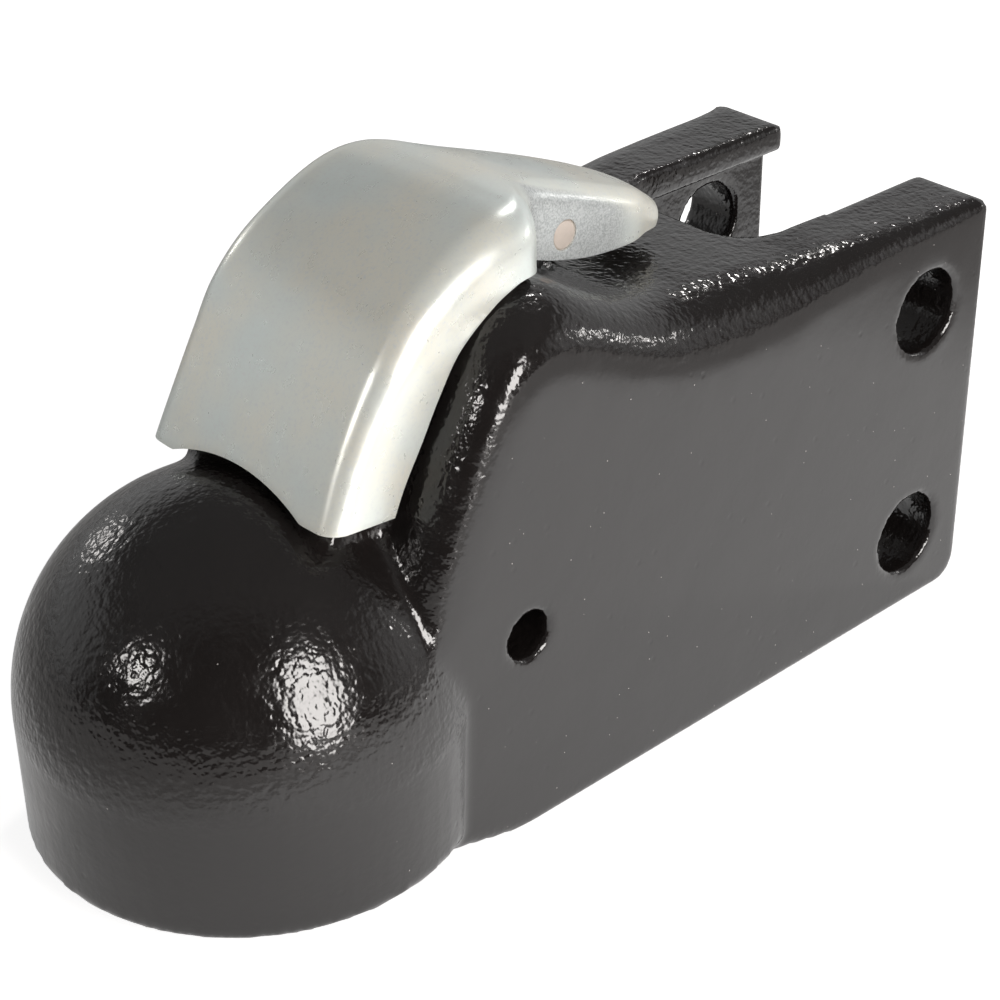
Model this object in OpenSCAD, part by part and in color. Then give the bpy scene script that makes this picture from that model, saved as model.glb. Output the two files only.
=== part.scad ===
// Ball coupler head for a trailer tongue, with a formed lever handle and a sliding ball lock.
// X runs from the nose of the head to the fork at the rear, Z is up, and the ball's axis is at X = 0, Y = 0.

/* [Ball and head] */
// Diameter of the hitch ball
ball_d = 58.74; // [56:0.01:59.5]
// Clearance between the ball and its socket
socket_clear = 0.45; // [0.3:0.05:0.8]
// Height of the ball's centre above the base
ball_z = 33; // [32:0.5:35]
// Wall of the head around the socket
head_wall = 13.9; // [12:0.1:15]
// Height of the head's rim above the base
rim_z = 7; // [6:0.1:8]
// Draft of the head between its rim and the ball's centre
head_draft = 0.4; // [0.1:0.1:1]
// Undercut of the socket's front lip
lip_undercut = 1; // [0.5:0.1:1.5]

/* [Body casting] */
// Width over the side walls
body_w = 76; // [74:0.5:78]
// Distance from the ball's axis to the rear end
rear_x = 170.5; // [166:0.5:180]
// Height of the fork legs
leg_z = 92; // [90:0.5:94]
// Height of the tower's crest above the legs
crest_rise = 17; // [16:0.5:17.5]
// Radius of the rear lower corners
heel_r = 6; // [4:0.5:8]
// Rounding of the cast edges at the base and the rear end
edge_r = 1.5; // [1:0.1:2.5]
// Thickness of the side walls beside the rear chamber
side_wall = 12; // [10:0.5:15]
// Thickness of the wall between the lock's pocket and the rear chamber
abutment_t = 13; // [10:0.5:16]

/* [Fork] */
// Distance from the ball's axis to the front of the slot
slot_x = 114; // [113:0.5:117]
// Thickness of the lip along the top of each leg
lip_t = 19; // [17:0.5:21]
// Height of the lip
lip_h = 6; // [5:0.5:8]
// Thickness of a leg below its lip
leg_t = 14; // [12:0.5:16]
// Corner radius of the slot's front end
slot_corner_r = 13; // [10:0.5:15]
// Radius of the mounting bolt holes
bolt_hole_r = 9.3; // [8:0.1:10]
// Distance between the bolt holes
bolt_pitch = 54; // [50:0.5:57]
// Height of the middle of the bolt holes
bolt_mid_z = 45.4; // [44:0.1:47]
// Distance from the bolt holes to the rear end
bolt_back = 18.5; // [16:0.5:22]

/* [Safety pin hole] */
// Radius of the safety pin's hole
safety_r = 5.1; // [4:0.1:5.2]
// Distance of the hole from the ball's axis
safety_x = 37.5; // [37:0.1:38]
// Height of the hole
safety_z = 44.5; // [44:0.1:45.5]

/* [Ball lock] */
// Distance from the ball's axis to the lock's axis, at the height of the ball's centre
lock_x = 46; // [45:0.5:47]
// Width of the lock
lock_w = 30; // [28:0.5:32]
// Depth of the lock ahead of its axis
lock_front = 17; // [16:0.5:18]
// Depth of the lock behind its axis
lock_back = 15; // [14:0.5:16]
// Top of the lock above the ball's centre, along the slide
lock_top = 22; // [20:0.5:24]
// Height of the lock's lower edge above the base
lock_low_z = 18; // [17:0.5:19]
// Travel of the lock along its slide
lock_travel = 15; // [14:0.5:15.5]
// Sliding clearance around the lock
slide_clear = 0.4; // [0.3:0.05:0.5]

/* [Lift rod] */
// Radius of the rod
rod_r = 5; // [4.5:0.1:5.2]
// Radius of the rod's eye
eye_r = 5.1; // [4.8:0.1:5.3]
// Radius of the rod's collar
collar_r = 7; // [6.5:0.1:8]
// Width of the rod's eye
eye_w = 10; // [8:0.5:11]
// Running clearance of the rod and of the pin
run_clear = 0.06; // [0.03:0.01:0.1]
// Wall of the guide bushing
bushing_wall = 1.8; // [1.5:0.1:2.2]
// Radius of the bushing's flange
bushing_flange_r = 8.8; // [8:0.1:9]
// Thickness of the bushing's flange
bushing_flange_t = 1.5; // [1:0.1:2]
// Width of the adjusting nut across its flats
nut_af = 17; // [16:0.5:17]
// Height of the adjusting nut
nut_h = 7; // [6:0.5:7]
// Thickness of the nut's washer
nut_washer_t = 1.5; // [1:0.1:2]

/* [Lock spring] */
// Radius of the spring's wire
spring_wire_r = 1.3; // [1:0.1:1.5]
// Radius of the coil, to the middle of the wire
spring_r = 8.5; // [8:0.1:9]
// Number of turns
spring_turns = 7; // [5:1:8]
// Thickness of each spring seat
seat_t = 1.6; // [1.2:0.1:2]
// Radius of the spring's bore in the tower
spring_bore_r = 12; // [11.5:0.1:13]

/* [Handle] */
// Thickness of the handle's sheet
sheet_t = 2.8; // [2.5:0.1:2.9]
// Half the width of the handle's shield at its lower corners
shield_half_w = 26.2; // [25.8:0.1:26.6]
// Half the width of the handle's tail
tail_half_w = 13.4; // [13:0.1:14]
// Depth of the turned-in flanges of the shield
flange_d = 14; // [13.5:0.1:14.2]
// Height of the shield's lower corners
shield_low_z = 76; // [75.5:0.1:77]
// Slope of the lower edges of the shield's flanges
shield_low_tilt = 6; // [0:0.5:8]
// Gap between the head's dome and the arched lower edge of the shield
arch_gap = 3.1; // [2.8:0.1:4.5]
// Distance of the handle's pin from the ball's axis
pin_x = 70; // [69.5:0.1:70.5]
// Depth of the handle's pin below the tower's crest
pin_drop = 1.3; // [1:0.1:1.6]
// Radius of the handle's pin
pin_r = 3.1; // [2.8:0.1:3.3]
// Radius of the wire of the handle's torsion spring
torsion_wire_r = 0.8; // [0.6:0.05:0.9]

/* [Hidden] */

cut = 1;
seat_gap = 0.05;
half_w = body_w / 2;
socket_r = ball_d / 2 + socket_clear;
head_r = socket_r + head_wall;
rim_r = head_r - head_draft;
crest_z = leg_z + crest_rise;
pin_z = crest_z - pin_drop;
bolt_x = rear_x - bolt_back;
lip_low_z = leg_z - lip_h;
slot_half_w = half_w - lip_t;
fork_half_w = half_w - leg_t;
chamber_half_w = half_w - side_wall;

slide_tilt = atan2(pin_x - lock_x, pin_z - ball_z);
pin_u = norm([pin_x - lock_x, pin_z - ball_z]);
spot_face_drop = 9.5;
spot_face_u = pin_u - spot_face_drop;
spot_face_r = bushing_flange_r + 0.7;
pocket_top_u = lock_top + lock_travel + 1.5;
spring_top_u = 58;
lock_face_r = socket_r + 0.2;
nut_seat_u = -5;
nut_bore_r = nut_af / sqrt(3) + 0.6;

steel = [0.62, 0.63, 0.64];
plated = [0.74, 0.75, 0.72];
paint = [0.13, 0.12, 0.12];
iron = [0.28, 0.28, 0.29];

// One point of a smooth curve that passes through every row of a list
function spline_point(p0, p1, p2, p3, t) =
    0.5 * (2 * p1 + (p2 - p0) * t + (2 * p0 - 5 * p1 + 4 * p2 - p3) * t * t
    + (3 * p1 - p0 - 3 * p2 + p3) * t * t * t);

function smoothed(rows, steps) = [
    for (i = [0 : len(rows) - 2])
        for (k = [0 : steps - 1])
            spline_point(
                rows[max(i - 1, 0)],
                rows[i],
                rows[i + 1],
                rows[min(i + 2, len(rows) - 1)],
                k / steps
            ),
    rows[len(rows) - 1]
];

function joined(lists) = [for (list = lists) for (item = list) item];

// The outer skin of the body: each row gives X and Z at the middle, X and Z on the side face,
// and how far the rounding between them reaches in Y
tower_rows = [
    [9, 46, 12, 47, 10],
    [12.8, 57, 17.2, 56, 12],
    [14.2, 63, 18.6, 63, 12],
    [16.4, 69, 20.3, 68.8, 12],
    [19.3, 76, 22.8, 76, 12],
    [23.3, 85, 26.5, 84.6, 12],
    [27, 92.5, 29.4, 91.5, 12],
    [31, crest_z - 9.5, 32.5, crest_z - 13.7, 13],
    [36, crest_z - 3.5, 37.3, crest_z - 10.4, 14],
    [43.5, crest_z, 44.6, crest_z - 10.2, 14],
    [53, crest_z - 1, 54.8, crest_z - 14.9, 14],
    [64, crest_z - 6.8, 67.9, crest_z - 20.1, 13],
    [74, leg_z + 5.8, 75, leg_z - 6, 12],
    [84, leg_z + 3.6, 81.7, leg_z - 7.6, 12],
    [95, leg_z + 3, 93, leg_z - 8.3, 12],
    [106, leg_z + 2.2, 102.4, leg_z - 7.7, 11],
    [rear_x - 50.5, leg_z + 1.2, rear_x - 51.5, leg_z - 6.4, 9],
    [rear_x - 27.5, leg_z + 0.3, rear_x - 28, leg_z - 3.7, 5],
    [rear_x - 4.5, leg_z, rear_x - 4.5, leg_z - 2.4, 4]
];

function corner_row(cx, cz, r, angle, reach) =
    let (x = cx + r * sin(angle), z = cz + r * cos(angle))
    [x, z, x - edge_r * sin(angle), z - edge_r * cos(angle), reach];

edge_rows = concat(
    [for (angle = [20 : 35 : 90]) corner_row(rear_x - 2, leg_z - 2, 2, angle, 2.5)],
    [for (angle = [90 : 22.5 : 180]) corner_row(rear_x - heel_r, heel_r, heel_r, angle, edge_r)],
    [
        [39, 0, 39, edge_r, edge_r],
        [33.5, 0.6, 33.5, 0.6 + edge_r, edge_r],
        [28, 1.9, 28, 1.9 + edge_r, edge_r],
        [21.7, 3.6, 21.7, 3.6 + edge_r, edge_r],
        [8, rim_z, 8, rim_z + edge_r, edge_r],
        [8, 45, 8, 45, edge_r]
    ]
);

side_hub = [60, 50];
fillet_steps = 6;
skin_rows = concat(smoothed(tower_rows, 3), edge_rows);
fillet_angles = [for (k = [0 : fillet_steps]) 90 * k / fillet_steps];

function skin_point(row, angle, side) =
    let (share = 1 - cos(angle))
    [
        row[0] + (row[2] - row[0]) * share,
        side * (half_w - row[4] * (1 - sin(angle))),
        row[1] + (row[3] - row[1]) * share
    ];

function skin_line(row) = concat(
    [for (k = [fillet_steps : -1 : 0]) skin_point(row, fillet_angles[k], -1)],
    [for (angle = fillet_angles) skin_point(row, angle, 1)]
);

module body_skin() {
    columns = 2 * (fillet_steps + 1);
    count = len(skin_rows);
    sides = [
        for (i = [0 : count - 1])
            for (j = [0 : columns - 2])
                let (a = i * columns + j, b = ((i + 1) % count) * columns + j)
                [a, a + 1, b + 1, b]
    ];
    // The flat side faces are fans around one point each
    near_hub = count * columns;
    near_face = [for (i = [0 : count - 1]) [near_hub, i * columns, ((i + 1) % count) * columns]];
    far_face = [
        for (i = [0 : count - 1])
            [near_hub + 1, ((i + 1) % count) * columns + columns - 1, i * columns + columns - 1]
    ];
    polyhedron(
        points = concat(
            joined([for (row = skin_rows) skin_line(row)]),
            [for (side = [-1, 1]) [side_hub[0], side * half_w, side_hub[1]]]
        ),
        faces = concat(sides, near_face, far_face),
        convexity = 6
    );
}

// The slide of the ball lock and its rod: Z runs up along it, and the origin is level with the ball
module along_slide() {
    translate([lock_x, 0, ball_z])
        rotate([0, slide_tilt, 0])
            children();
}

module across(x, z, r, length) {
    translate([x, length / 2, z])
        rotate([90, 0, 0])
            cylinder(r = r, h = length, $fn = 48);
}

module head_shell() {
    rotate_extrude($fn = 120) {
        polygon([
            [0, rim_z],
            [rim_r - 0.8, rim_z],
            [rim_r, rim_z + 0.8],
            [head_r, ball_z],
            [0, ball_z]
        ]);
        translate([0, ball_z])
            intersection() {
                circle(r = head_r, $fn = 120);
                square(head_r);
            }
    }
}

// The narrow front of the tower that the handle covers
nose_half_w = shield_half_w - sheet_t - 2;
nose_outline = [
    [4.9, 60], [4.9, crest_z - 34.1], [9.8, crest_z - 25.4], [15.6, crest_z - 17.1],
    [21.6, crest_z - 9.8], [28.6, crest_z - 3.4], [35, crest_z - 0.4], [43.5, crest_z],
    [53, crest_z - 1.5], [53, 60]
];

module tower_nose() {
    translate([0, nose_half_w, 0])
        rotate([90, 0, 0])
            linear_extrude(height = 2 * nose_half_w)
                polygon(nose_outline);
}

module socket_space() {
    translate([0, 0, ball_z])
        sphere(r = socket_r, $fn = 120);
    translate([lip_undercut, 0, -cut])
        cylinder(r = socket_r, h = ball_z + cut, $fn = 120);
    translate([lip_undercut, 0, rim_z - 2])
        cylinder(r1 = socket_r + 4, r2 = socket_r, h = 4, $fn = 120);
}

module lock_space() {
    along_slide() {
        translate([-lock_front - slide_clear, -lock_w / 2 - slide_clear, -80])
            cube([
                lock_front + lock_back + 2 * slide_clear,
                lock_w + 2 * slide_clear,
                80 + pocket_top_u
            ]);
        cylinder(r = spring_bore_r, h = spring_top_u, $fn = 64);
        cylinder(r = rod_r + run_clear + bushing_wall, h = pin_u, $fn = 64);
        translate([0, 0, spot_face_u - bushing_flange_t])
            cylinder(r = spot_face_r, h = 40, $fn = 64);
    }
}

module rear_chamber() {
    back_v = lock_back + slide_clear + abutment_t;
    low_x = lock_x - ball_z * tan(slide_tilt) + back_v / cos(slide_tilt);
    translate([0, chamber_half_w, 0])
        rotate([90, 0, 0])
            linear_extrude(height = 2 * chamber_half_w)
                polygon([
                    [low_x, -cut],
                    [slot_x + 8, -cut],
                    [slot_x + 8, leg_z - 18],
                    [slot_x - 3, leg_z - 18],
                    [95, leg_z - 11],
                    [low_x + (leg_z - 15) * tan(slide_tilt), leg_z - 15]
                ]);
}

module fork_space() {
    translate([slot_x, -fork_half_w, -cut])
        cube([rear_x - slot_x + cut, 2 * fork_half_w, lip_low_z + cut]);
    translate([0, 0, leg_z - 30])
        linear_extrude(height = 60) {
            translate([slot_x + slot_corner_r, -slot_half_w])
                square([rear_x - slot_x, 2 * slot_half_w]);
            translate([slot_x, slot_corner_r - slot_half_w])
                square([rear_x - slot_x, 2 * (slot_half_w - slot_corner_r)]);
            for (side = [-1, 1])
                translate([slot_x + slot_corner_r, side * (slot_half_w - slot_corner_r)])
                    circle(r = slot_corner_r, $fn = 48);
        }
}

module casting() {
    color(paint)
        difference() {
            union() {
                head_shell();
                body_skin();
                tower_nose();
            }
            socket_space();
            lock_space();
            rear_chamber();
            fork_space();
            for (side = [-1, 1])
                across(bolt_x, bolt_mid_z + side * bolt_pitch / 2, bolt_hole_r, body_w + 2 * cut);
            across(safety_x, safety_z, safety_r, body_w + 2 * cut);
        }
}

module rod_bushing() {
    color(steel)
        along_slide()
            difference() {
                union() {
                    translate([0, 0, spring_top_u])
                        cylinder(
                            r = rod_r + run_clear + bushing_wall,
                            h = spot_face_u - spring_top_u,
                            $fn = 64
                        );
                    translate([0, 0, spot_face_u - bushing_flange_t])
                        cylinder(r = bushing_flange_r, h = bushing_flange_t, $fn = 64);
                }
                translate([0, 0, spring_top_u - cut])
                    cylinder(r = rod_r + run_clear, h = 40, $fn = 64);
            }
}

module spring_seat(low_u) {
    color(steel)
        along_slide()
            translate([0, 0, low_u])
                difference() {
                    cylinder(r = spring_bore_r - 0.5, h = seat_t, $fn = 64);
                    translate([0, 0, -cut])
                        cylinder(r = rod_r + 0.5, h = seat_t + 2 * cut, $fn = 64);
                }
}

module upper_spring_seat() {
    spring_seat(spring_top_u - seat_t - seat_gap);
}

module lower_spring_seat() {
    spring_seat(lock_top + seat_gap);
}

module ball_lock() {
    color(iron)
        difference() {
            along_slide()
                translate([-lock_front, -lock_w / 2, -40])
                    cube([lock_front + lock_back, lock_w, 40 + lock_top]);
            translate([-50, -50, lock_low_z - 100])
                cube([200, 100, 100]);
            translate([0, 0, ball_z])
                sphere(r = lock_face_r, $fn = 120);
            translate([lip_undercut - lock_travel * sin(slide_tilt), 0, -cut])
                cylinder(r = socket_r, h = ball_z + cut, $fn = 120);
            across(safety_x, safety_z, safety_r + 0.3, lock_w + 2 * cut);
            along_slide() {
                translate([0, 0, -60])
                    cylinder(r = rod_r + 0.1, h = 120, $fn = 64);
                translate([0, 0, nut_seat_u - 60])
                    cylinder(r = nut_bore_r, h = 60, $fn = 64);
            }
        }
}

collar_gap = 0.3;
collar_h = 2;
cotter_r = 1;
cotter_u = nut_seat_u - nut_washer_t - nut_h - 1.3;

module lift_rod() {
    tip_u = nut_seat_u - nut_washer_t - nut_h - 3;
    color(steel)
        difference() {
            union() {
                along_slide() {
                    translate([0, 0, tip_u + 1])
                        cylinder(r = rod_r, h = pin_u - tip_u - 1, $fn = 64);
                    translate([0, 0, tip_u])
                        cylinder(r1 = rod_r - 1, r2 = rod_r, h = 1, $fn = 64);
                    translate([0, 0, spot_face_u + collar_gap])
                        cylinder(r = collar_r, h = collar_h, $fn = 64);
                }
                across(pin_x, pin_z, eye_r, eye_w);
            }
            across(pin_x, pin_z, pin_r + run_clear, eye_w + 2 * cut);
            along_slide()
                across(0, cotter_u, cotter_r, 2 * rod_r + 2 * cut);
        }
}

module nut_washer() {
    color(steel)
        along_slide()
            translate([0, 0, nut_seat_u - nut_washer_t])
                difference() {
                    cylinder(r = nut_bore_r - 0.4, h = nut_washer_t, $fn = 64);
                    translate([0, 0, -cut])
                        cylinder(r = rod_r + 0.2, h = nut_washer_t + 2 * cut, $fn = 64);
                }
}

module adjusting_nut() {
    color(plated)
        along_slide()
            translate([0, 0, nut_seat_u - nut_washer_t - nut_h])
                difference() {
                    intersection() {
                        cylinder(r = nut_af / sqrt(3), h = nut_h, $fn = 6);
                        cylinder(r1 = nut_af / 2 + 0.3, r2 = nut_af / 2 + nut_h, h = nut_h, $fn = 64);
                    }
                    translate([0, 0, -cut])
                        cylinder(r = rod_r, h = nut_h + 2 * cut, $fn = 64);
                }
}

module cotter_pin() {
    color(steel)
        along_slide()
            translate([0, 0, cotter_u]) {
                across(0, 0, cotter_r, 2 * rod_r + 5);
                translate([0, rod_r + 2.6, 0])
                    rotate_extrude($fn = 40)
                        translate([1.6, 0])
                            circle(r = 0.6, $fn = 24);
            }
}

// A wire swept along a path: one ring of points at each station, and a flat cap at each end
function ring(center, tangent, r, sides) =
    let (
        t = tangent / norm(tangent),
        side_raw = cross(t, abs(t[1]) < 0.9 ? [0, 1, 0] : [1, 0, 0]),
        a = side_raw / norm(side_raw),
        b = cross(a, t)
    )
    [for (k = [0 : sides - 1]) center + r * (cos(360 * k / sides) * a + sin(360 * k / sides) * b)];

module wire(path, r, sides) {
    last = len(path) - 1;
    rings = [
        for (i = [0 : last])
            ring(path[i], path[min(i + 1, last)] - path[max(i - 1, 0)], r, sides)
    ];
    walls = [
        for (i = [0 : last - 1])
            for (k = [0 : sides - 1])
                let (n = (k + 1) % sides)
                [i * sides + k, (i + 1) * sides + k, (i + 1) * sides + n, i * sides + n]
    ];
    low_cap = [for (k = [0 : sides - 1]) k];
    high_cap = [for (k = [sides - 1 : -1 : 0]) last * sides + k];
    polyhedron(points = joined(rings), faces = concat(walls, [low_cap, high_cap]), convexity = 8);
}

module lock_spring() {
    low_u = lock_top + seat_gap + seat_t + spring_wire_r + seat_gap;
    high_u = spring_top_u - seat_gap - seat_t - spring_wire_r - seat_gap;
    steps = 18 * spring_turns;
    closed = 0.75;
    rise = high_u - low_u - 2 * closed * 2 * spring_wire_r;
    free_turns = spring_turns - 2 * closed;
    function coil_u(turn) =
        turn < closed ? low_u + turn * 2 * spring_wire_r
        : turn > spring_turns - closed ? high_u - (spring_turns - turn) * 2 * spring_wire_r
        : low_u + closed * 2 * spring_wire_r + rise * (turn - closed) / free_turns;
    path = [
        for (i = [0 : steps])
            let (turn = spring_turns * i / steps)
            [spring_r * cos(360 * turn), spring_r * sin(360 * turn), coil_u(turn)]
    ];
    color(steel)
        along_slide()
            wire(path, spring_wire_r, 8);
}

// The handle: each row gives X and Z on the outside of the sheet, the tilt of its section, half of
// its width, the radius of its bends and the depth of its flanges
handle_rows = [
    [-2.8, crest_z - 39.7, 29, shield_half_w + 0.8, 4.2, flange_d - 0.1],
    [0.6, crest_z - 32.1, 30, shield_half_w + 0.5, 4.2, flange_d + 0.4],
    [5.2, crest_z - 22.2, 33, shield_half_w, 4.6, flange_d + 0.8],
    [10.2, crest_z - 13, 37, shield_half_w + 0.1, 5, flange_d + 1.1],
    [15.3, crest_z - 4.9, 40, shield_half_w + 0.7, 5.6, flange_d + 0.1],
    [22.6, crest_z + 3.7, 48, shield_half_w + 1.2, 6.4, flange_d - 1.1],
    [33.5, crest_z + 11, 61, shield_half_w + 1, 7, flange_d - 1.9],
    [42.5, crest_z + 13.4, 78, shield_half_w - 0.1, 7.5, flange_d - 2.4],
    [49.4, crest_z + 13.9, 87, shield_half_w - 4, 7.5, flange_d - 1.7],
    [55.2, crest_z + 13.6, 93, tail_half_w + 3.4, 6.6, flange_d - 0.2],
    [61.3, crest_z + 12.1, 99, tail_half_w + 0.4, 6, flange_d + 0.9],
    [70.4, crest_z + 8.8, 106, tail_half_w, 5.6, flange_d + 0.6],
    [81.6, crest_z + 4.1, 110, tail_half_w - 0.5, 5.6, flange_d - 0.6],
    [92.8, crest_z - 0.4, 112, tail_half_w - 1.3, 5.6, flange_d - 3.8],
    [97.9, crest_z - 3.5, 115, tail_half_w - 3.4, 5.2, flange_d / 2],
    [104.3, crest_z - 8, 118, tail_half_w / 2, 4.4, 4.6]
];

sheet_crown = 0.5;
bend_steps = 5;

function section_half(row, inset) =
    let (w = row[3] - inset, r = max(row[4] - inset, 0.6))
    concat(
        [[w, row[5]]],
        [
            for (k = [0 : bend_steps])
                let (angle = 90 * k / bend_steps)
                [w - r + r * cos(angle), inset + r - r * sin(angle)]
        ],
        [[(w - r) / 2, inset - sheet_crown * 0.75]]
    );

function section(row, inset) =
    let (half = section_half(row, inset), count = len(half))
    concat(
        [for (point = half) [-point[0], point[1]]],
        [[0, inset - sheet_crown]],
        [for (k = [count - 1 : -1 : 0]) half[k]]
    );

function section_line(row, inset) = [
    for (point = section(row, inset))
        [row[0] + point[1] * cos(row[2]), point[0], row[1] - point[1] * sin(row[2])]
];

module formed_sheet(rows, thickness) {
    outer = joined([for (row = rows) section_line(row, 0)]);
    inner = joined([for (row = rows) section_line(row, thickness)]);
    columns = len(outer) / len(rows);
    last = len(rows) - 1;
    base = len(outer);
    outside = [
        for (i = [0 : last - 1])
            for (j = [0 : columns - 2])
                let (a = i * columns + j, b = a + columns)
                [a, a + 1, b + 1, b]
    ];
    inside = [for (face = outside) [base + face[3], base + face[2], base + face[1], base + face[0]]];
    near_edge = [
        for (i = [0 : last - 1])
            let (a = i * columns, b = a + columns)
            [a, b, base + b, base + a]
    ];
    far_edge = [
        for (i = [0 : last - 1])
            let (a = i * columns + columns - 1, b = a + columns)
            [a, base + a, base + b, b]
    ];
    low_edge = [for (j = [0 : columns - 2]) [j, base + j, base + j + 1, j + 1]];
    tip_edge = [
        for (j = [0 : columns - 2])
            let (a = last * columns + j)
            [a, a + 1, base + a + 1, base + a]
    ];
    polyhedron(
        points = concat(outer, inner),
        faces = concat(outside, inside, near_edge, far_edge, low_edge, tip_edge),
        convexity = 8
    );
}

module handle() {
    color(plated)
        difference() {
            formed_sheet(smoothed(handle_rows, 3), sheet_t);
            translate([0, 0, shield_low_z])
                rotate([0, shield_low_tilt, 0])
                    translate([-40, -60, -60])
                        cube([80, 120, 60]);
            translate([0, 0, ball_z])
                sphere(r = head_r + arch_gap, $fn = 120);
            across(pin_x, pin_z, pin_r, 2 * tail_half_w + 2 * cut);
        }
}

module handle_pin() {
    length = 2 * tail_half_w - 0.4;
    color([0.8, 0.7, 0.62])
        translate([pin_x, length / 2, pin_z])
            rotate([90, 0, 0]) {
                translate([0, 0, 0.4])
                    cylinder(r = pin_r - 0.01, h = length - 0.8, $fn = 48);
                cylinder(r1 = pin_r - 0.4, r2 = pin_r - 0.01, h = 0.4, $fn = 48);
                translate([0, 0, length - 0.4])
                    cylinder(r1 = pin_r - 0.01, r2 = pin_r - 0.4, h = 0.4, $fn = 48);
            }
}

pin_gap = 0.2;

module spacer_sleeve() {
    inner_y = eye_w / 2 + pin_gap;
    outer_y = tail_half_w - sheet_t - 0.9;
    color(steel)
        translate([pin_x, outer_y, pin_z])
            rotate([90, 0, 0])
                difference() {
                    cylinder(r = pin_r + 1.2, h = outer_y - inner_y, $fn = 48);
                    translate([0, 0, -cut])
                        cylinder(r = pin_r + 0.05, h = outer_y - inner_y + 2 * cut, $fn = 48);
                }
}

module handle_spring() {
    coil_r = pin_r + 0.3 + torsion_wire_r;
    turns = 1.75;
    steps = 28;
    start_y = -eye_w / 2 - pin_gap - torsion_wire_r;
    pitch = 2 * torsion_wire_r + 0.05;
    coil = [
        for (i = [0 : steps])
            let (turn = turns * i / steps)
            [coil_r * cos(360 * turn), start_y - pitch * turn, coil_r * sin(360 * turn)]
    ];
    end_y = start_y - pitch * turns;
    lower_leg = [[coil_r - 1.2, start_y, -8], [coil_r - 0.2, start_y, -4]];
    upper_leg = [[5, end_y, -coil_r], [10, end_y, 0.6 - coil_r], [13, end_y, 1.4 - coil_r]];
    color(steel)
        translate([pin_x, 0, pin_z])
            wire(concat(lower_leg, coil, upper_leg), torsion_wire_r, 6);
}

casting();
rod_bushing();
upper_spring_seat();
ball_lock();
lift_rod();
lower_spring_seat();
lock_spring();
nut_washer();
adjusting_nut();
cotter_pin();
handle();
handle_pin();
spacer_sleeve();
handle_spring();
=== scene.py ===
"""Looks of the trailer coupling head, built around its solids, in metres or, where said, millimetres."""

from math import cos, pi, radians, sin

import bmesh
import bpy
import numpy as np
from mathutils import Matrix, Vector


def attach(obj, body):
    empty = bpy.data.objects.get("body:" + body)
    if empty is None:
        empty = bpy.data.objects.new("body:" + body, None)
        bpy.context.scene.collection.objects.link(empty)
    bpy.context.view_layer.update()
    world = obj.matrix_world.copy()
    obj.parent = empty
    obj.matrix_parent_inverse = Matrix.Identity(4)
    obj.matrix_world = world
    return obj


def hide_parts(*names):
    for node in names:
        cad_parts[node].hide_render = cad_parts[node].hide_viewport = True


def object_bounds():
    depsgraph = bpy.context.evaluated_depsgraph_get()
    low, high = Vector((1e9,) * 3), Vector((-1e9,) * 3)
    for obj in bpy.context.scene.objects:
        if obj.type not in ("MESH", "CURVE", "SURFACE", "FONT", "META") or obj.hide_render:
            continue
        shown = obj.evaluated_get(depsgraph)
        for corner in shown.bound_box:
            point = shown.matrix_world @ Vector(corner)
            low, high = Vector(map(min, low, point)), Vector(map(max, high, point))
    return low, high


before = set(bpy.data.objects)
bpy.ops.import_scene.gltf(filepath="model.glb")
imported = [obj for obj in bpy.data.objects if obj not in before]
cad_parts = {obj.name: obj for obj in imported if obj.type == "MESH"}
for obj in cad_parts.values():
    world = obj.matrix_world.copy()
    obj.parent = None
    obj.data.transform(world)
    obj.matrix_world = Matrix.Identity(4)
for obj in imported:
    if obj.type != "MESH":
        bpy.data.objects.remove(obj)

CAD_BOX = [list(corner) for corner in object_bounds()]
MM = 0.001

# Sizes of the object, in millimetres, as its solids have them
HALF_W = 38
BALL_Z = 33
HEAD_R = 43.72
PIN_X = 70
PIN_Z = 107.7
PIN_R = 3.1
SAFETY_HOLE_X = 37.5
SAFETY_HOLE_Z = 44.5

# Camera, fitted to the photograph's outline, hole and edge points
CAMERA_AZIMUTH = radians(-43.7)
CAMERA_ELEVATION = radians(30.12)
CAMERA_TARGET = Vector((0.07265, 0, 0.04943))
CAMERA_DISTANCE = 0.4959
CAMERA_SENSOR = 36
CAMERA_LENS = 87.95
CAMERA_SHIFT = (-0.0259, -0.0262)
CAMERA_CLIP = 0.02


def direction(azimuth, elevation):
    """The unit vector that points to an azimuth, turned from +X to +Y, and an elevation, in degrees."""
    a, e = radians(azimuth), radians(elevation)
    return Vector((cos(a) * cos(e), sin(a) * cos(e), sin(e)))


def add_object(name, data):
    obj = bpy.data.objects.new(name, data)
    bpy.context.scene.collection.objects.link(obj)
    return obj


def add_camera():
    data = bpy.data.cameras.new("camera")
    data.sensor_fit = "HORIZONTAL"
    data.sensor_width = CAMERA_SENSOR
    data.lens = CAMERA_LENS
    data.shift_x, data.shift_y = CAMERA_SHIFT
    data.clip_start = CAMERA_CLIP
    back = Vector((
        sin(CAMERA_AZIMUTH) * cos(CAMERA_ELEVATION),
        -cos(CAMERA_AZIMUTH) * cos(CAMERA_ELEVATION),
        sin(CAMERA_ELEVATION),
    ))
    camera = add_object("camera", data)
    camera.location = CAMERA_TARGET + CAMERA_DISTANCE * back
    camera.rotation_euler = back.to_track_quat("Z", "Y").to_euler()
    bpy.context.scene.camera = camera


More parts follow.
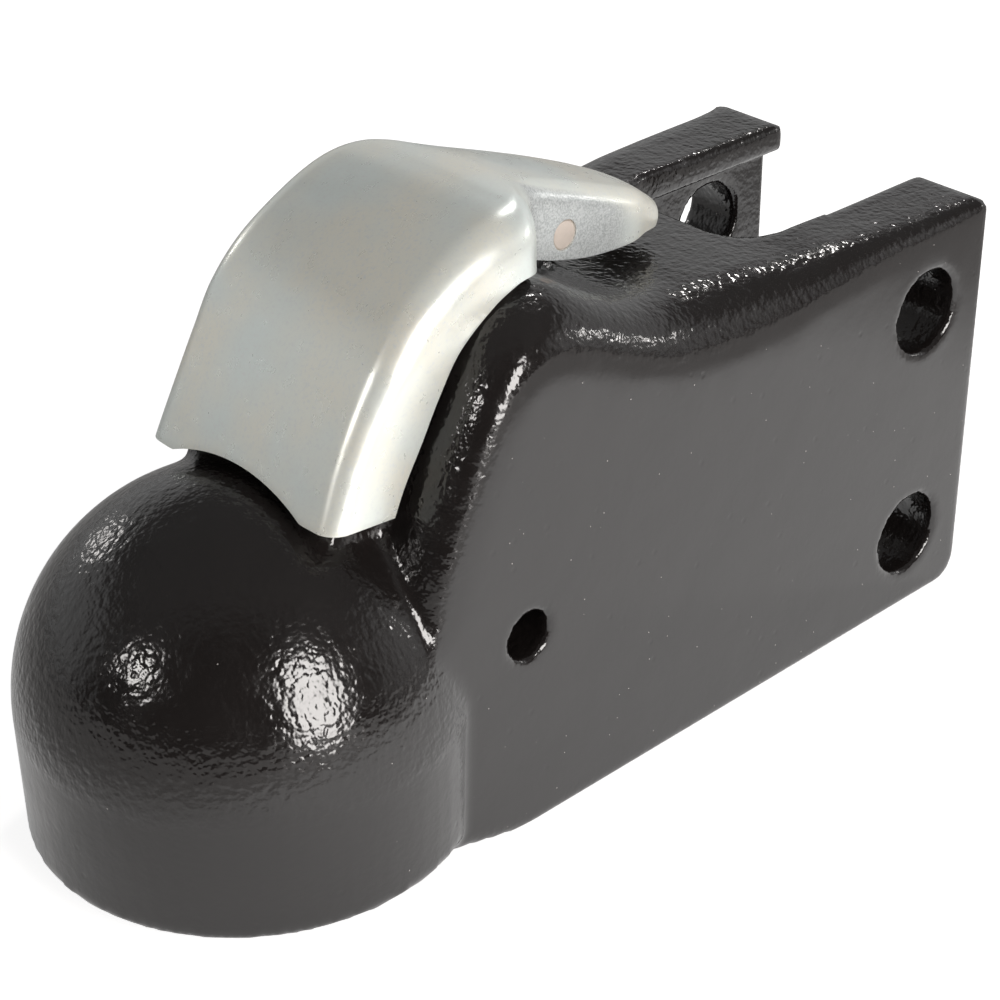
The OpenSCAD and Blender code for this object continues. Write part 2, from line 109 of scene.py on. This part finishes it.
class Graph:
    """A node tree under construction. Most calls add nodes and give back the socket that they end in."""

    def __init__(self, tree):
        self.tree = tree
        tree.nodes.clear()

    def node(self, kind, inputs=None, **settings):
        """A new node itself, with its inputs set or linked."""
        made = self.tree.nodes.new(kind)
        for name, value in settings.items():
            setattr(made, name, value)
        for name, value in (inputs or {}).items():
            socket = made.inputs[name]
            if isinstance(value, bpy.types.NodeSocket):
                self.tree.links.new(value, socket)
            else:
                socket.default_value = value
        return made

    def math(self, operation, *values):
        return self.node("ShaderNodeMath", dict(enumerate(values)), operation=operation).outputs[0]

    def product(self, *values):
        result = values[0]
        for value in values[1:]:
            result = self.math("MULTIPLY", result, value)
        return result

    def total(self, *values):
        result = values[0]
        for value in values[1:]:
            result = self.math("ADD", result, value)
        return result

    def vector(self, operation, first, second):
        made = self.node("ShaderNodeVectorMath", {0: first, 1: second}, operation=operation)
        return made.outputs["Value" if operation in ("DISTANCE", "DOT_PRODUCT") else "Vector"]

    def position(self):
        """The place on the object, in millimetres."""
        place = self.node("ShaderNodeTexCoord").outputs["Object"]
        return self.vector("MULTIPLY", place, (1000, 1000, 1000))

    def noise(self, place, size, detail=2, roughness=0.5, stretch=None):
        """Noise from 0 to 1 whose lumps are about size millimetres long."""
        if stretch:
            place = self.vector("MULTIPLY", place, stretch)
        inputs = {"Vector": place, "Scale": 1 / size, "Detail": detail, "Roughness": roughness}
        return self.node("ShaderNodeTexNoise", inputs).outputs["Fac"]

    def cells(self, place, size):
        """Scattered cells, size millimetres apart: how far the middle is, and two random numbers."""
        made = self.node("ShaderNodeTexVoronoi", {"Vector": place, "Scale": 1 / size})
        numbers = self.node("ShaderNodeSeparateColor", {0: made.outputs["Color"]})
        return made.outputs["Distance"], numbers.outputs[0], numbers.outputs[1]

    def span(self, value, low, high, to_low=0.0, to_high=1.0):
        """A smooth step from to_low to to_high as the value goes from low to high."""
        inputs = {"Value": value, "From Min": low, "From Max": high, "To Min": to_low, "To Max": to_high}
        made = self.node("ShaderNodeMapRange", inputs, interpolation_type="SMOOTHSTEP", clamp=True)
        return made.outputs[0]

    def mix(self, share, first, second):
        """A colour between two, by a share from 0 to 1."""
        ends = [(*end, 1) if isinstance(end, tuple) else end for end in (first, second)]
        return self.node("ShaderNodeMix", {0: share, 6: ends[0], 7: ends[1]}, data_type="RGBA").outputs[2]

    def bump(self, height):
        """A normal from a height in millimetres."""
        return self.node("ShaderNodeBump", {"Height": height, "Distance": MM, "Strength": 1}).outputs[0]

    def attribute(self, name):
        return self.node("ShaderNodeAttribute", attribute_name=name).outputs["Fac"]

    def surface(self, inputs):
        shader = self.node("ShaderNodeBsdfPrincipled", inputs)
        self.node("ShaderNodeOutputMaterial", {"Surface": shader.outputs[0]})


def new_graph(name):
    material = bpy.data.materials.new(name)
    material.use_nodes = True
    return material, Graph(material.node_tree)


WHITE = (1, 1, 1, 1)

# Floor: it gives off white to the camera, a little less near the object, where its shadow shows.
# Reflections see that light only near the object, and more of it towards the camera's right.
# Each pair of numbers is where a change starts and ends, in millimetres
FLOOR_HALF = 4.0
FLOOR_TONE = 0.78
FLOOR_MIDDLE = (90, -40, 0)
FLOOR_NEAR = (160, 250)
FLOOR_FAR = (350, 1100)
FLOOR_RIGHT_WAY = (0.7, -0.7, 0)
FLOOR_RIGHT = (-60, 100)
FLOOR_LEFT_GLOW = 0.35


def floor_glow(graph):
    rays = graph.node("ShaderNodeLightPath")
    reflected = graph.math("MAXIMUM", rays.outputs["Is Glossy Ray"], rays.outputs["Is Transmission Ray"])
    place = graph.position()
    apart = graph.vector("DISTANCE", place, FLOOR_MIDDLE)
    aside = graph.vector("DOT_PRODUCT", place, FLOOR_RIGHT_WAY)
    near = graph.span(apart, *FLOOR_NEAR, 1, 0)
    right = graph.span(aside, *FLOOR_RIGHT, FLOOR_LEFT_GLOW, FLOOR_TONE)
    far = graph.span(apart, *FLOOR_FAR, FLOOR_TONE, 1)
    to_camera = graph.product(rays.outputs["Is Camera Ray"], far)
    return graph.math("MAXIMUM", to_camera, graph.product(reflected, graph.product(near, right)))


def add_floor():
    mesh = bpy.data.meshes.new("floor")
    corners = [(x * FLOOR_HALF, y * FLOOR_HALF, 0) for x, y in ((-1, -1), (1, -1), (1, 1), (-1, 1))]
    mesh.from_pydata(corners, [], [(0, 1, 2, 3)])
    floor = add_object("floor", mesh)
    material, graph = new_graph("floor")
    glow = graph.node("ShaderNodeEmission", {"Color": WHITE, "Strength": floor_glow(graph)})
    lit = graph.node("ShaderNodeBsdfDiffuse", {"Color": (FLOOR_TONE, FLOOR_TONE, FLOOR_TONE, 1)})
    both = graph.node("ShaderNodeAddShader", {0: lit.outputs[0], 1: glow.outputs[0]})
    graph.node("ShaderNodeOutputMaterial", {"Surface": both.outputs[0]})
    mesh.materials.append(material)


# Room: dark, with a pale backdrop behind the object and a dim ceiling. Each pair of numbers is where a
# change starts and ends, along a direction of length 1
BACKDROP_AZIMUTH = 46
BACKDROP_LIGHT = 0.5
BACKDROP_ACROSS = (-0.4, 0.14)
BACKDROP_TOP = (0.36, 0.66)
CEILING_LIGHT = 0.12
CEILING_RISE = (0.5, 0.75)
CEILING_ACROSS = (-0.7, -0.2)
ROOM_LIGHT = 0.04


def add_world():
    world = bpy.data.worlds.new("studio")
    world.use_nodes = True
    bpy.context.scene.world = world
    graph = Graph(world.node_tree)
    rays = graph.node("ShaderNodeLightPath")
    way = graph.node("ShaderNodeTexCoord").outputs["Generated"]
    height = graph.node("ShaderNodeSeparateXYZ", {0: way}).outputs[2]
    behind = graph.vector("DOT_PRODUCT", way, direction(BACKDROP_AZIMUTH, 0))
    backdrop = graph.product(
        graph.span(behind, *BACKDROP_ACROSS), graph.span(height, *BACKDROP_TOP, 1, 0), BACKDROP_LIGHT
    )
    ceiling = graph.product(
        graph.span(height, *CEILING_RISE), graph.span(behind, *CEILING_ACROSS), CEILING_LIGHT
    )
    room = graph.total(backdrop, ceiling, ROOM_LIGHT)
    strength = graph.math("MAXIMUM", rays.outputs["Is Camera Ray"], room)
    shader = graph.node("ShaderNodeBackground", {"Color": WHITE, "Strength": strength})
    graph.node("ShaderNodeOutputWorld", {"Surface": shader.outputs[0]})


# Lamps, all turned to the head: azimuth and elevation in degrees, distance, width and height in
# metres, and power in watts
LAMP_COLOUR = (1, 0.965, 0.94)
LAMP_TARGET = Vector((0, 0, 0.05))
LAMPS = {
    "lamp_left": (172, 27, 1.1, 0.22, 0.20, 1.4),
    "lamp_right": (-93, 19, 1.1, 0.46, 0.8, 11.5),
    "lamp_top": (24, 44, 1.1, 0.12, 0.12, 1.6),
    "lamp_behind": (93, 18, 1.2, 0.2, 0.16, 0.5),
    "lamp_rear": (-23, 13, 1.4, 0.12, 0.12, 0.6),
}


def add_lamp(name, azimuth, elevation, distance, width, height, power):
    data = bpy.data.lights.new(name, "AREA")
    data.shape = "ELLIPSE"
    data.size = width
    data.size_y = height
    data.energy = power
    data.color = LAMP_COLOUR
    lamp = add_object(name, data)
    towards = direction(azimuth, elevation)
    lamp.location = LAMP_TARGET + distance * towards
    lamp.rotation_euler = towards.to_track_quat("Z", "Y").to_euler()


def add_lamps():
    for name, values in LAMPS.items():
        add_lamp(name, *values)


# Relief of the paint, in millimetres. The heights of the lumps and the grain are on smooth and on
# coarse places. The spans of pits and specks are shares of their spacing, and the chances pick the
# cells that have one
LUMP_SIZE = 2.7
LUMP_HEIGHT = (0.016, 0.15)
GRAIN_SIZE = 1.25
GRAIN_HEIGHT = (0.014, 0.17)
SWELL_SIZE = 12
SWELL_HEIGHT = 0.11
PIT_SPACING = 4.2
PIT_SPAN = (0.05, 0.22)
PIT_DEPTH = 0.03
PIT_CHANCE = (0.55, 0.75)
SPECK_SPACING = 2.7
SPECK_SPAN = (0.035, 0.06)
SPECK_CHANCE = (0.92, 0.93)


def black_paint():
    """Gloss black paint over a sand casting: coarse on the dome, the top and the fillets."""
    material, graph = new_graph("black_paint")
    place = graph.position()
    cast = graph.attribute("cast")
    lumps = graph.product(graph.noise(place, LUMP_SIZE, 1), graph.span(cast, 0, 1, *LUMP_HEIGHT))
    grain = graph.product(graph.noise(place, GRAIN_SIZE, 1), graph.span(cast, 0, 1, *GRAIN_HEIGHT))
    swell = graph.product(graph.noise(place, SWELL_SIZE, 1), SWELL_HEIGHT)
    apart, chance, _ = graph.cells(place, PIT_SPACING)
    pits = graph.product(graph.span(apart, *PIT_SPAN, -PIT_DEPTH, 0), graph.span(chance, *PIT_CHANCE))
    apart, _, chance = graph.cells(place, SPECK_SPACING)
    dust = graph.product(graph.span(apart, *SPECK_SPAN, 1, 0), graph.span(chance, *SPECK_CHANCE))
    tone = graph.mix(graph.noise(place, 14, 2), (0.0095, 0.0078, 0.0074), (0.0135, 0.0112, 0.0106))
    graph.surface({
        "Base Color": graph.mix(dust, tone, (0.42, 0.40, 0.38)),
        "Roughness": graph.span(graph.noise(place, 5, 3), 0.3, 0.7, 0.12, 0.2),
        "Specular IOR Level": 0.75,
        "Normal": graph.bump(graph.total(lumps, grain, swell, pits)),
    })
    return material


# The plating, in millimetres: the sizes of its marks, and where the gritty sides of the handle's tail
# start and end
CLOUD_SIZE = 20
SPECKLE_SIZE = 0.7
GRIT_SIZE = 0.42
GRIT_HEIGHT = 0.03
PEEL_HEIGHT = 0.001
WAVE_SIZE = 14
WAVE_HEIGHT = 0.03
TAIL_SIDE_Y = (11.6, 12.8)
TAIL_START_X = (57, 61)
TAIL_END_X = (84, 92)


def tail_sides(graph, place):
    """1 on the sides of the handle's tail, and 0 elsewhere."""
    parts = graph.node("ShaderNodeSeparateXYZ", {0: place})
    aside = graph.math("ABSOLUTE", parts.outputs[1])
    along = parts.outputs[0]
    return graph.product(
        graph.span(aside, *TAIL_SIDE_Y),
        graph.span(along, *TAIL_START_X),
        graph.span(along, *TAIL_END_X, 1, 0),
    )


def zinc_plate():
    """Satin zinc plating with faint tints and a fine speckle, gritty and darker on the sides of the
    handle's tail.
    """
    material, graph = new_graph("zinc_plate")
    place = graph.position()
    cloud = graph.span(graph.noise(place, CLOUD_SIZE, 2), 0.32, 0.68)
    tint = graph.mix(cloud, (0.86, 0.93, 0.90), (0.94, 0.93, 0.83))
    speckle = graph.span(graph.noise(place, SPECKLE_SIZE, 2, 0.6), 0.45, 0.85)
    side = tail_sides(graph, place)
    grit = graph.noise(place, GRIT_SIZE, 2, 0.6)
    # The tail's sides get a darker colour, speckled by the grit noise.
    darker_speckle = graph.mix(graph.span(grit, 0.35, 0.65), (0.47, 0.50, 0.50), (0.72, 0.75, 0.75))
    peel = graph.product(grit, graph.math("MULTIPLY_ADD", side, GRIT_HEIGHT, PEEL_HEIGHT))
    wave = graph.product(graph.noise(place, WAVE_SIZE, 1), WAVE_HEIGHT)
    graph.surface({
        "Base Color": graph.mix(side, graph.mix(speckle, tint, (0.83, 0.86, 0.84)), darker_speckle),
        "Metallic": 0.45,
        "Roughness": graph.span(graph.noise(place, 3.5, 3), 0.3, 0.7, 0.27, 0.33),
        "Normal": graph.bump(graph.total(peel, wave)),
    })
    return material


def turned_steel(name, base, rough, stretch, metallic=1.0):
    """Bare steel with fine marks, packed closer along the axes where stretch is over 1."""
    material, graph = new_graph(name)
    place = graph.position()
    marks = graph.noise(place, 0.5, 3, 0.6, stretch)
    worn = tuple(0.7 * share for share in base)
    graph.surface({
        "Base Color": graph.mix(graph.noise(place, 4, 3), base, worn),
        "Metallic": metallic,
        "Roughness": graph.span(marks, 0.3, 0.7, rough - 0.07, rough + 0.09),
        "Normal": graph.bump(graph.product(marks, 0.012)),
    })
    return material


def lock_iron():
    """The phosphated casting of the ball lock."""
    material, graph = new_graph("lock_iron")
    place = graph.position()
    grain = graph.noise(place, 1.0, 3, 0.6)
    graph.surface({
        "Base Color": graph.mix(graph.noise(place, 6, 3), (0.05, 0.05, 0.052), (0.10, 0.098, 0.095)),
        "Metallic": 0.6,
        "Roughness": graph.span(grain, 0.3, 0.7, 0.42, 0.62),
        "Normal": graph.bump(graph.product(grain, 0.07)),
    })
    return material


def evaluated_mesh(obj, name):
    """A new mesh with the object's modifiers applied."""
    bpy.context.view_layer.update()
    graph = bpy.context.evaluated_depsgraph_get()
    mesh = bpy.data.meshes.new_from_object(obj.evaluated_get(graph))
    mesh.name = name
    return mesh


def finish_mesh(mesh, material):
    """Smooth shading and one material."""
    mesh.polygons.foreach_set("use_smooth", np.ones(len(mesh.polygons), bool))
    mesh.materials.clear()
    mesh.materials.append(material)


def mesh_points(mesh):
    points = np.zeros(len(mesh.vertices) * 3)
    mesh.vertices.foreach_get("co", points)
    return points.reshape(-1, 3)


def mesh_edges(mesh):
    ends = np.zeros(len(mesh.edges) * 2, int)
    mesh.edges.foreach_get("vertices", ends)
    return ends.reshape(-1, 2)


def mesh_normals(mesh):
    normals = np.zeros(len(mesh.vertices) * 3)
    mesh.vertex_normals.foreach_get("vector", normals)
    return normals.reshape(-1, 3)


def neighbour_mean(values, ends):
    """The mean of each vertex's neighbours."""
    total = np.zeros_like(values)
    share = np.zeros(len(values))
    np.add.at(total, ends[:, 0], values[ends[:, 1]])
    np.add.at(total, ends[:, 1], values[ends[:, 0]])
    np.add.at(share, ends[:, 0], 1)
    np.add.at(share, ends[:, 1], 1)
    share = share.reshape((-1,) + (1,) * (values.ndim - 1))
    return total / np.maximum(share, 1)


# Shares of the way to the neighbours' mean that a point goes in one step of smoothing
PULL = 0.5
PUSH_BACK = -0.52


def smooth_points(points, ends, passes):
    """Taubin smoothing: a pull towards the neighbours and a slightly stronger push back."""
    for _ in range(passes):
        for share in (PULL, PUSH_BACK):
            points = points + share * (neighbour_mean(points, ends) - points)
    return points


def relax_points(points, ends, weights, passes):
    """Plain smoothing, which fills a crease and rounds an edge."""
    for _ in range(passes):
        points = points + PULL * weights[:, None] * (neighbour_mean(points, ends) - points)
    return points


def ramp(values, low, high):
    """0 at low and before it, 1 at high and past it."""
    return np.clip((values - low) / (high - low), 0, 1)


# The casting's skin, in millimetres. Each pair of numbers is where a ramp or a stretch starts and ends
CAST_VOXEL = 1.17
SKIN_PASSES = 2
CREASE_REACH = 3
CREASE_LOW_Z = 36
CREASE_X = (-2, 40)
CREASE_PASSES = 5
SAFETY_HOLE_RIM = (7, 10)
TOWER_SIDE = (25, 30)
TOWER_LOW = (48, 56)
TOWER_FRONT = (14, 20)
TOWER_REAR = (118, 108)
TOWER_PASSES = 30
LEG_SIDE = (30, 33)
LEG_LOW = (82, 86)
LEG_FRONT = (108, 118)
LEG_REAR = (168, 160)
EDGE_PASSES = 12
LEG_LIFT = 0.5
LEG_LIFT_X = (118, 128)
LEG_LIFT_Z = (84, 90)
FLAT_NORMAL = 0.97
FACE_REACH = 1
WALL_COARSENESS = 0.25
MASK_PASSES = 6


def crease_weights(points):
    """Where the tower grows out of the dome."""
    x, y, z = (points / MM).T
    off_dome = np.abs(np.sqrt(x * x + y * y + (z - BALL_Z) ** 2) - HEAD_R)
    weight = np.clip(1 - off_dome / CREASE_REACH, 0, 1)
    weight *= (z > CREASE_LOW_Z) & (x > CREASE_X[0]) & (x < CREASE_X[1])
    return weight


def edge_weights(points):
    """The broad outer edges of the tower and the roof, and the narrower ones of the legs."""
    x, y, z = (points / MM).T
    hole = ramp(np.hypot(x - SAFETY_HOLE_X, z - SAFETY_HOLE_Z), *SAFETY_HOLE_RIM)
    tower = ramp(np.abs(y), *TOWER_SIDE) * ramp(z, *TOWER_LOW)
    tower = tower * ramp(x, *TOWER_FRONT) * ramp(x, *TOWER_REAR) * hole
    legs = ramp(np.abs(y), *LEG_SIDE) * ramp(z, *LEG_LOW) * ramp(x, *LEG_FRONT) * ramp(x, *LEG_REAR)
    return tower, legs


def cast_mask(points, normals, ends):
    """1 where the casting is coarse, less on the head's upright wall, and 0 on the smooth side faces."""
    x, y, z = (points / MM).T
    flat = (np.abs(normals[:, 1]) > FLAT_NORMAL) & (np.abs(np.abs(y) - HALF_W) < FACE_REACH)
    wall = (np.hypot(x, y) < HEAD_R + FACE_REACH) & (z < BALL_Z)
    mask = np.where(flat, 0, np.where(wall, WALL_COARSENESS, 1.0))
    for _ in range(MASK_PASSES):
        mask = 0.5 * mask + 0.5 * neighbour_mean(mask, ends)
    return mask


def add_casting_skin(material):
    """The casting's solid with the rounded edges and soft creases of a sand casting."""
    work = add_object("casting_work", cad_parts["casting"].data.copy())
    remesh = work.modifiers.new("remesh", "REMESH")
    remesh.mode = "VOXEL"
    remesh.voxel_size = CAST_VOXEL * MM
    mesh = evaluated_mesh(work, "casting_skin")
    bpy.data.objects.remove(work)
    points, ends = mesh_points(mesh), mesh_edges(mesh)
    points = smooth_points(points, ends, SKIN_PASSES)
    points = relax_points(points, ends, crease_weights(points), CREASE_PASSES)
    tower, legs = edge_weights(points)
    points = relax_points(points, ends, np.maximum(tower, legs), EDGE_PASSES)
    points = relax_points(points, ends, tower, TOWER_PASSES)
    x, _, z = (points / MM).T
    points[:, 2] += LEG_LIFT * MM * ramp(x, *LEG_LIFT_X) * ramp(z, *LEG_LIFT_Z)
    points = np.clip(points, CAD_BOX[0], CAD_BOX[1])
    mesh.vertices.foreach_set("co", points.ravel())
    mesh.update()
    mask = cast_mask(points, mesh_normals(mesh), ends)
    layer = mesh.attributes.new("cast", "FLOAT", "POINT")
    layer.data.foreach_set("value", mask.astype(np.float32))
    finish_mesh(mesh, material)
    skin = add_object("casting_skin", mesh)
    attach(skin, "housing")
    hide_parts("casting")


# The handle, in millimetres: each row gives X and Z on the outside of the sheet, the tilt of its
# section in degrees, half of its width, the radius of its bends and the depth of its flanges
SHEET = 2.8
SHEET_CROWN = 0.5
LEAST_WIDTH = 1
LEAST_BEND = 0.6
SHIELD_LOW_Z = 76
SHIELD_LOW_TILT = radians(6)
ARCH_GAP = 3.1
HANDLE_ROWS = np.array([
    [-2.8, 69.3, 29, 27, 4.2, 13.9],
    [0.6, 76.9, 30, 26.7, 4.2, 14.4],
    [5.2, 86.8, 33, 26.2, 4.6, 14.8],
    [10.2, 96, 37, 26.3, 5, 15.1],
    [15.3, 104.1, 40, 26.9, 5.6, 14.1],
    [22.6, 111.8, 48, 26.9, 6.4, 12.9],
    [33.5, 118.5, 61, 26.8, 7, 12.1],
    [42.5, 121.8, 78, 27, 7.5, 11.6],
    [49.2, 122.6, 86, 26, 7.2, 12.1],
    [53.4, 122.5, 91, 22.8, 6.4, 12.8],
    [56.6, 122.1, 95, 17.8, 5.4, 13.6],
    [60, 121.3, 98, 14.8, 4.8, 14.4],
    [64.5, 119.9, 101, 13.7, 4.8, 14.8],
    [72, 117.2, 106, 13.4, 4.8, 14.6],
    [82, 113.4, 109, 12.9, 4.8, 13.4],
    [92.8, 108.9, 112, 12, 5, 10.2],
    [98.2, 105.8, 115, 10.4, 5, 7],
    [102, 103.1, 117, 8.6, 4.6, 5],
    [103.9, 101.7, 118, 6.4, 3.8, 3.8],
    [104.6, 101.1, 118, 3.8, 2.6, 3.1],
])
LAST_ROW = len(HANDLE_ROWS) - 1

# Steps of the handle's mesh: along it, and over the flange, the bend and half of the top. The cut
# lower edge is looked for in the first rows, and points along the sheet come from a finer set of lines
ALONG_STEPS = 150
FLANGE_STEPS = 7
BEND_STEPS = 10
TOP_STEPS = 16
CUT_ROWS = 3.2
CUT_TRIES = 320
FINE_STEPS = 40

# The cutter of the pin's hole and the rounding of the sheet's rim, in millimetres
DRILL_SIDES = 48
DRILL_LENGTH = 60
RIM_ROUND = 0.5
RIM_SEGMENTS = 3
SHARP_ANGLE = radians(50)


def handle_row(u):
    """The row at a place between 0 and the last row, on a smooth curve through all of them."""
    i = min(int(u), LAST_ROW - 1)
    t = u - i
    p0, p1 = HANDLE_ROWS[max(i - 1, 0)], HANDLE_ROWS[i]
    p2, p3 = HANDLE_ROWS[i + 1], HANDLE_ROWS[min(i + 2, LAST_ROW)]
    return 0.5 * (
        2 * p1 + (p2 - p0) * t + (2 * p0 - 5 * p1 + 4 * p2 - p3) * t * t
        + (3 * p1 - p0 - 3 * p2 + p3) * t ** 3
    )


def handle_section(row, inset):
    """Half of a section from the flange's edge to the middle: points of Y and depth below the sheet."""
    width = max(row[3] - inset, LEAST_WIDTH)
    bend = min(max(row[4] - inset, LEAST_BEND), width)
    depth = row[5]
    top = width - bend
    bend_low = inset + bend
    flange = [(width, depth + (bend_low - depth) * k / FLANGE_STEPS) for k in range(FLANGE_STEPS)]
    arc = []
    for k in range(BEND_STEPS):
        angle = pi / 2 * k / BEND_STEPS
        arc.append((top + bend * cos(angle), bend_low - bend * sin(angle)))
    crown = []
    for k in range(TOP_STEPS + 1):
        share = 1 - k / TOP_STEPS
        crown.append((top * share, inset - SHEET_CROWN * (1 - share * share)))
    return np.array(flange + arc + crown)


def handle_line(u, inset):
    """A whole section in space, from the near flange over the top to the far one."""
    row = handle_row(u)
    half = handle_section(row, inset)
    near = half * (-1, 1)
    section = np.vstack((near, half[-2::-1]))
    tilt = radians(row[2])
    return np.column_stack((
        row[0] + section[:, 1] * cos(tilt),
        section[:, 0],
        row[1] - section[:, 1] * sin(tilt),
    ))


def shield_start(inset):
    """Where each line along the sheet leaves the shield's lower edge, which is cut off slantwise and
    arched over the dome."""
    tries = np.linspace(0, CUT_ROWS, CUT_TRIES + 1)
    lines = np.array([handle_line(u, inset) for u in tries])
    off_ball = np.linalg.norm(lines - (0, 0, BALL_Z), axis=2) - HEAD_R - ARCH_GAP
    over_cut = (lines[:, :, 2] - SHIELD_LOW_Z) * cos(SHIELD_LOW_TILT)
    over_cut = over_cut + lines[:, :, 0] * sin(SHIELD_LOW_TILT)
    room = np.minimum(off_ball, over_cut)
    start = np.zeros(lines.shape[1])
    for j in range(lines.shape[1]):
        below = np.nonzero(room[:, j] < 0)[0]
        k = below[-1] if len(below) else 0
        share = room[k, j] / (room[k, j] - room[k + 1, j])
        start[j] = tries[k] + share * (tries[k + 1] - tries[k])
    return start


def handle_grid(inset):
    """A grid of points over one side of the sheet, from the shield's lower edge to the tail's tip."""
    start = shield_start(inset)
    fine = np.linspace(0, LAST_ROW, FINE_STEPS * LAST_ROW + 1)
    fine_lines = np.array([handle_line(u, inset) for u in fine])
    grid = np.zeros((ALONG_STEPS + 1, len(start), 3))
    for j in range(len(start)):
        wanted = start[j] + (LAST_ROW - start[j]) * np.linspace(0, 1, ALONG_STEPS + 1)
        for axis in range(3):
            grid[:, j, axis] = np.interp(wanted, fine, fine_lines[:, j, axis])
    return grid


def sheet_mesh():
    """The outer and the inner side of the handle's sheet, joined along their rim."""
    outer, inner = handle_grid(0), handle_grid(SHEET)
    rows, columns = outer.shape[:2]
    points = np.vstack((outer.reshape(-1, 3), inner.reshape(-1, 3))) * MM
    inner_base = rows * columns
    faces = []
    for i in range(rows - 1):
        for j in range(columns - 1):
            a, b = i * columns + j, (i + 1) * columns + j
            faces.append((a, b, b + 1, a + 1))
            faces.append((inner_base + a, inner_base + a + 1, inner_base + b + 1, inner_base + b))
    rim = list(range(columns))
    rim += [i * columns + columns - 1 for i in range(1, rows)]
    rim += [(rows - 1) * columns + j for j in range(columns - 2, -1, -1)]
    rim += [i * columns for i in range(rows - 2, 0, -1)]
    for a, b in zip(rim, rim[1:] + rim[:1]):
        faces.append((a, b, inner_base + b, inner_base + a))
    mesh = bpy.data.meshes.new("handle_sheet")
    mesh.from_pydata(points.tolist(), [], faces)
    work = bmesh.new()
    work.from_mesh(mesh)
    bmesh.ops.recalc_face_normals(work, faces=work.faces)
    work.to_mesh(mesh)
    work.free()
    return mesh


def add_drill():
    """The cutter of the hole for the handle's pin."""
    mesh = bpy.data.meshes.new("drill")
    radius = PIN_R * MM
    work = bmesh.new()
    bmesh.ops.create_cone(
        work, cap_ends=True, segments=DRILL_SIDES, radius1=radius, radius2=radius, depth=DRILL_LENGTH * MM
    )
    work.to_mesh(mesh)
    work.free()
    drill = add_object("drill", mesh)
    drill.rotation_euler = (pi / 2, 0, 0)
    drill.location = (PIN_X * MM, 0, PIN_Z * MM)
    return drill


def add_handle(material):
    """The handle's bent sheet, drilled for its pin and with its rim rounded."""
    handle = add_object("handle_sheet", sheet_mesh())
    drill = add_drill()
    hole = handle.modifiers.new("hole", "BOOLEAN")
    hole.operation = "DIFFERENCE"
    hole.solver = "EXACT"
    hole.object = drill
    bevel = handle.modifiers.new("bevel", "BEVEL")
    bevel.width = RIM_ROUND * MM
    bevel.segments = RIM_SEGMENTS
    bevel.limit_method = "ANGLE"
    bevel.angle_limit = SHARP_ANGLE
    handle.data = evaluated_mesh(handle, "handle_sheet")
    handle.modifiers.clear()
    bpy.data.objects.remove(drill)
    finish_mesh(handle.data, material)
    handle.data.set_sharp_from_angle(angle=SHARP_ANGLE)
    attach(handle, "lever")
    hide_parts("handle")


def dress_nodes(paint, zinc):
    """Gives each CAD node its material."""
    plain = turned_steel("plain_steel", (0.50, 0.50, 0.50), 0.34, (1, 1, 4))
    wire = turned_steel("spring_steel", (0.30, 0.30, 0.31), 0.36, (2, 2, 2))
    pin = turned_steel("pin_steel", (0.90, 0.79, 0.70), 0.36, (1, 0.2, 1), 0.55)
    iron = lock_iron()
    finishes = {
        "casting": paint, "handle": zinc, "rod_bushing": plain, "upper_spring_seat": plain,
        "lower_spring_seat": plain, "lift_rod": plain, "spacer_sleeve": plain, "lock_spring": wire,
        "handle_spring": wire, "ball_lock": iron, "nut_washer": zinc, "adjusting_nut": zinc,
        "cotter_pin": zinc, "handle_pin": pin,
    }
    for node, material in finishes.items():
        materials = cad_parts[node].data.materials
        materials.clear()
        materials.append(material)


add_camera()
add_floor()
add_world()
add_lamps()
black = black_paint()
plating = zinc_plate()
dress_nodes(black, plating)
add_casting_skin(black)
add_handle(plating)

bpy.context.scene.view_settings.view_transform = "Standard"
